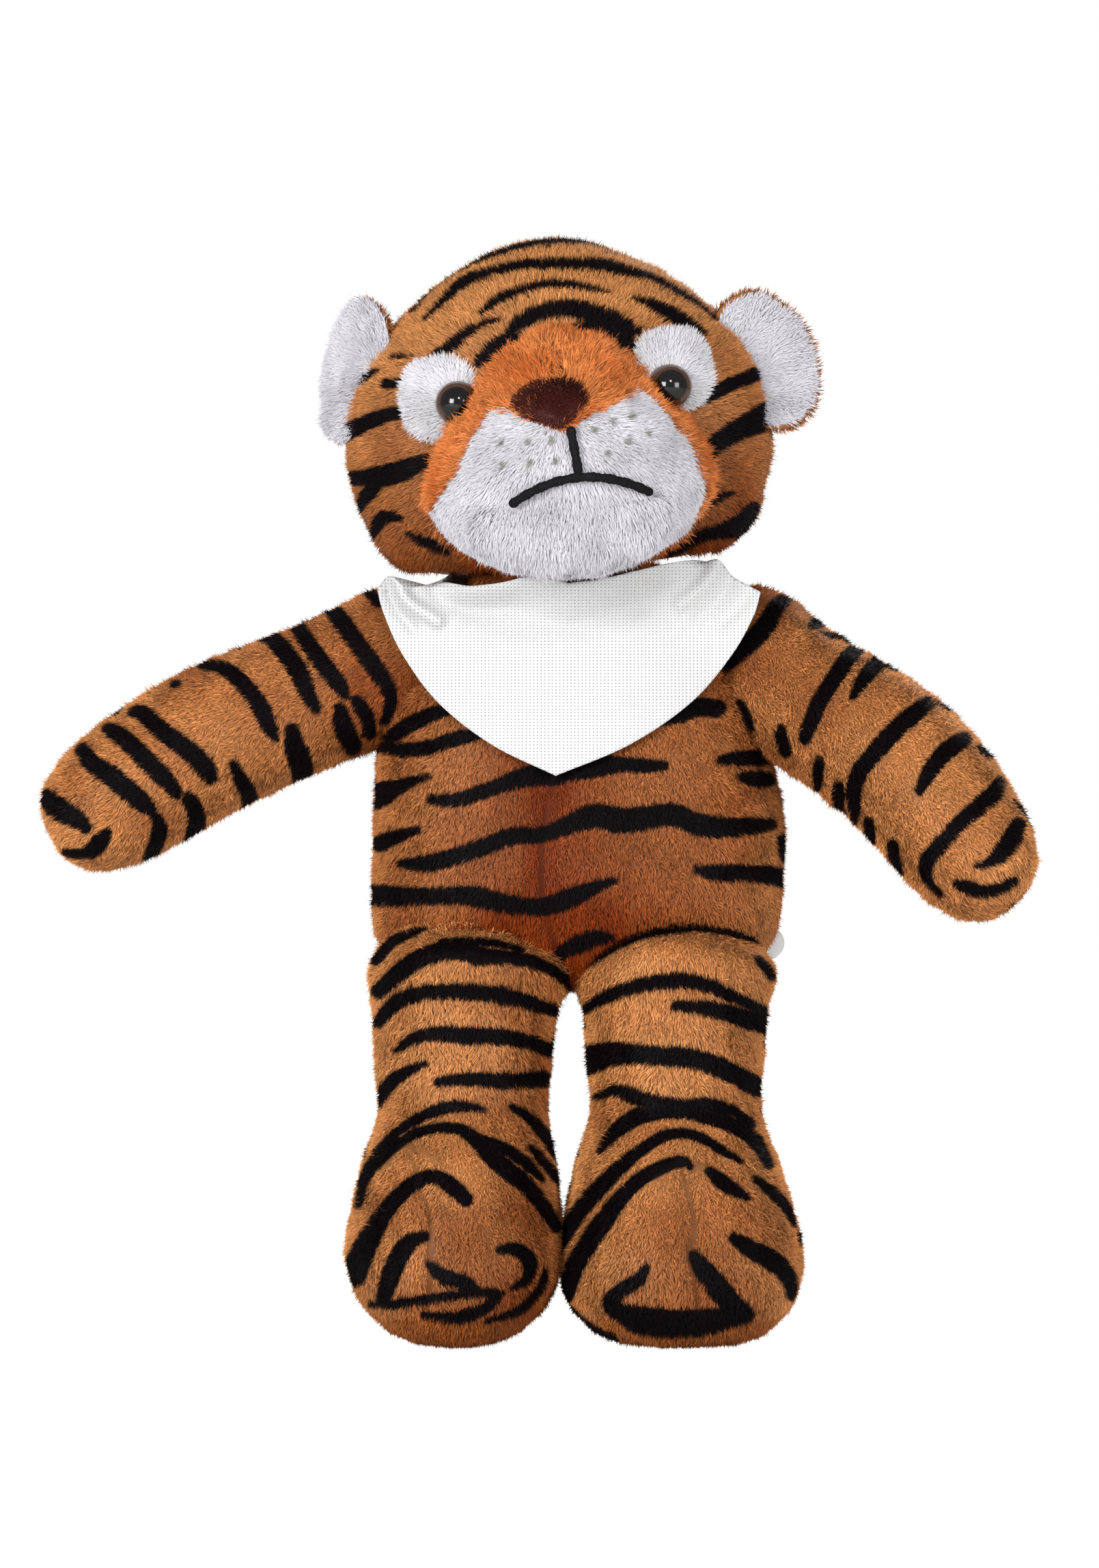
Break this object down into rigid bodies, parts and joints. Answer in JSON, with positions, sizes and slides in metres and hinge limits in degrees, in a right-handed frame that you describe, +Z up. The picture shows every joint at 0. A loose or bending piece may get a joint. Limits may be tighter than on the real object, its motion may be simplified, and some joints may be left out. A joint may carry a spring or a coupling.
{
  "type": "plush tiger",
  "caption": "Standing stuffed plush tiger with a white muzzle, safety eyes, folding ears, swinging arms, legs and tail, and a white knitted neckerchief.",
  "frame": {"origin": "middle of the toy's bounding box on the ground, under its two soles", "axes": "+Z up along the standing toy, the face looks along -Y, +X towards the toy's own left arm"},
  "size_m": [0.202, 0.1082, 0.2246],
  "materials": {
    "striped_plush": "short pile, printed black stripes",
    "bright_plush": "long pile",
    "sole_plush": "short pile",
    "white_plush": "soft pile",
    "maroon_velour": "velour",
    "black_thread": "matte thread",
    "white_knit": "fine knit",
    "label_satin": "satin",
    "stuffing": "loose fibre",
    "eye_plastic": "polished",
    "washer_plastic": "moulded"
  },
  "bodies": {
    "torso": {"body_cover": "striped_plush", "body_filling": "stuffing", "neckerchief": "white_knit", "neckerchief_knot": "white_knit", "care_label": "label_satin"},
    "head": {"head_cover": "striped_plush", "head_filling": "stuffing", "muzzle_top": "bright_plush", "muzzle_front": "white_plush", "muzzle_filling": "stuffing", "chin": "white_plush", "nose": "maroon_velour", "mouth_arc": "black_thread", "mouth_line": "black_thread", "left_eye_patch": "white_plush", "right_eye_patch": "white_plush", "left_eye": "eye_plastic", "right_eye": "eye_plastic", "left_eye_washer": "washer_plastic", "right_eye_washer": "washer_plastic"},
    "left_ear": {"left_ear_front": "white_plush", "left_ear_back": "striped_plush"},
    "right_ear": {"right_ear_front": "white_plush", "right_ear_back": "striped_plush"},
    "left_arm": {"left_arm_cover": "striped_plush", "left_arm_filling": "stuffing"},
    "right_arm": {"right_arm_cover": "striped_plush", "right_arm_filling": "stuffing"},
    "left_leg": {"left_leg_cover": "striped_plush", "left_leg_filling": "stuffing", "left_sole": "sole_plush"},
    "right_leg": {"right_leg_cover": "striped_plush", "right_leg_filling": "stuffing", "right_sole": "sole_plush"},
    "tail": {"tail_cover": "striped_plush", "tail_filling": "stuffing"}
  },
  "joints": [
    {"name": "neck_turn", "type": "hinge", "parent": "torso", "child": "head", "pos_m": [0.00653, 0.00565, 0.161], "axis": [0, 0, 1], "range_deg": [-40, 40]},
    {"name": "left_ear_fold", "type": "hinge", "parent": "head", "child": "left_ear", "pos_m": [0.03827, -0.00535, 0.19731], "axis": [0.3331, -0.0666, -0.9405], "range_deg": [-12, 20], "stiffness_Nm_per_rad": 0.01},
    {"name": "right_ear_fold", "type": "hinge", "parent": "head", "child": "right_ear", "pos_m": [-0.0315, -0.00535, 0.19743], "axis": [0.1647, 0.0666, 0.9841], "range_deg": [-12, 20], "stiffness_Nm_per_rad": 0.01},
    {"name": "left_shoulder_swing", "type": "hinge", "parent": "torso", "child": "left_arm", "pos_m": [0.04353, 0.00315, 0.139], "axis": [0, -1, 0], "range_deg": [-4.5, 69]},
    {"name": "right_shoulder_swing", "type": "hinge", "parent": "torso", "child": "right_arm", "pos_m": [-0.02897, 0.00315, 0.139], "axis": [0, 1, 0], "range_deg": [-17, 57]},
    {"name": "left_hip_swing", "type": "hinge", "parent": "torso", "child": "left_leg", "pos_m": [0.02803, -0.00435, 0.068], "axis": [-1, 0, 0], "range_deg": [-15, 78]},
    {"name": "right_hip_swing", "type": "hinge", "parent": "torso", "child": "right_leg", "pos_m": [-0.01487, -0.00435, 0.068], "axis": [-1, 0, 0], "range_deg": [-15, 78]},
    {"name": "tail_lift", "type": "hinge", "parent": "torso", "child": "tail", "pos_m": [0.01053, 0.03115, 0.093], "axis": [1, 0, 0], "range_deg": [0, 60]}
  ]
}
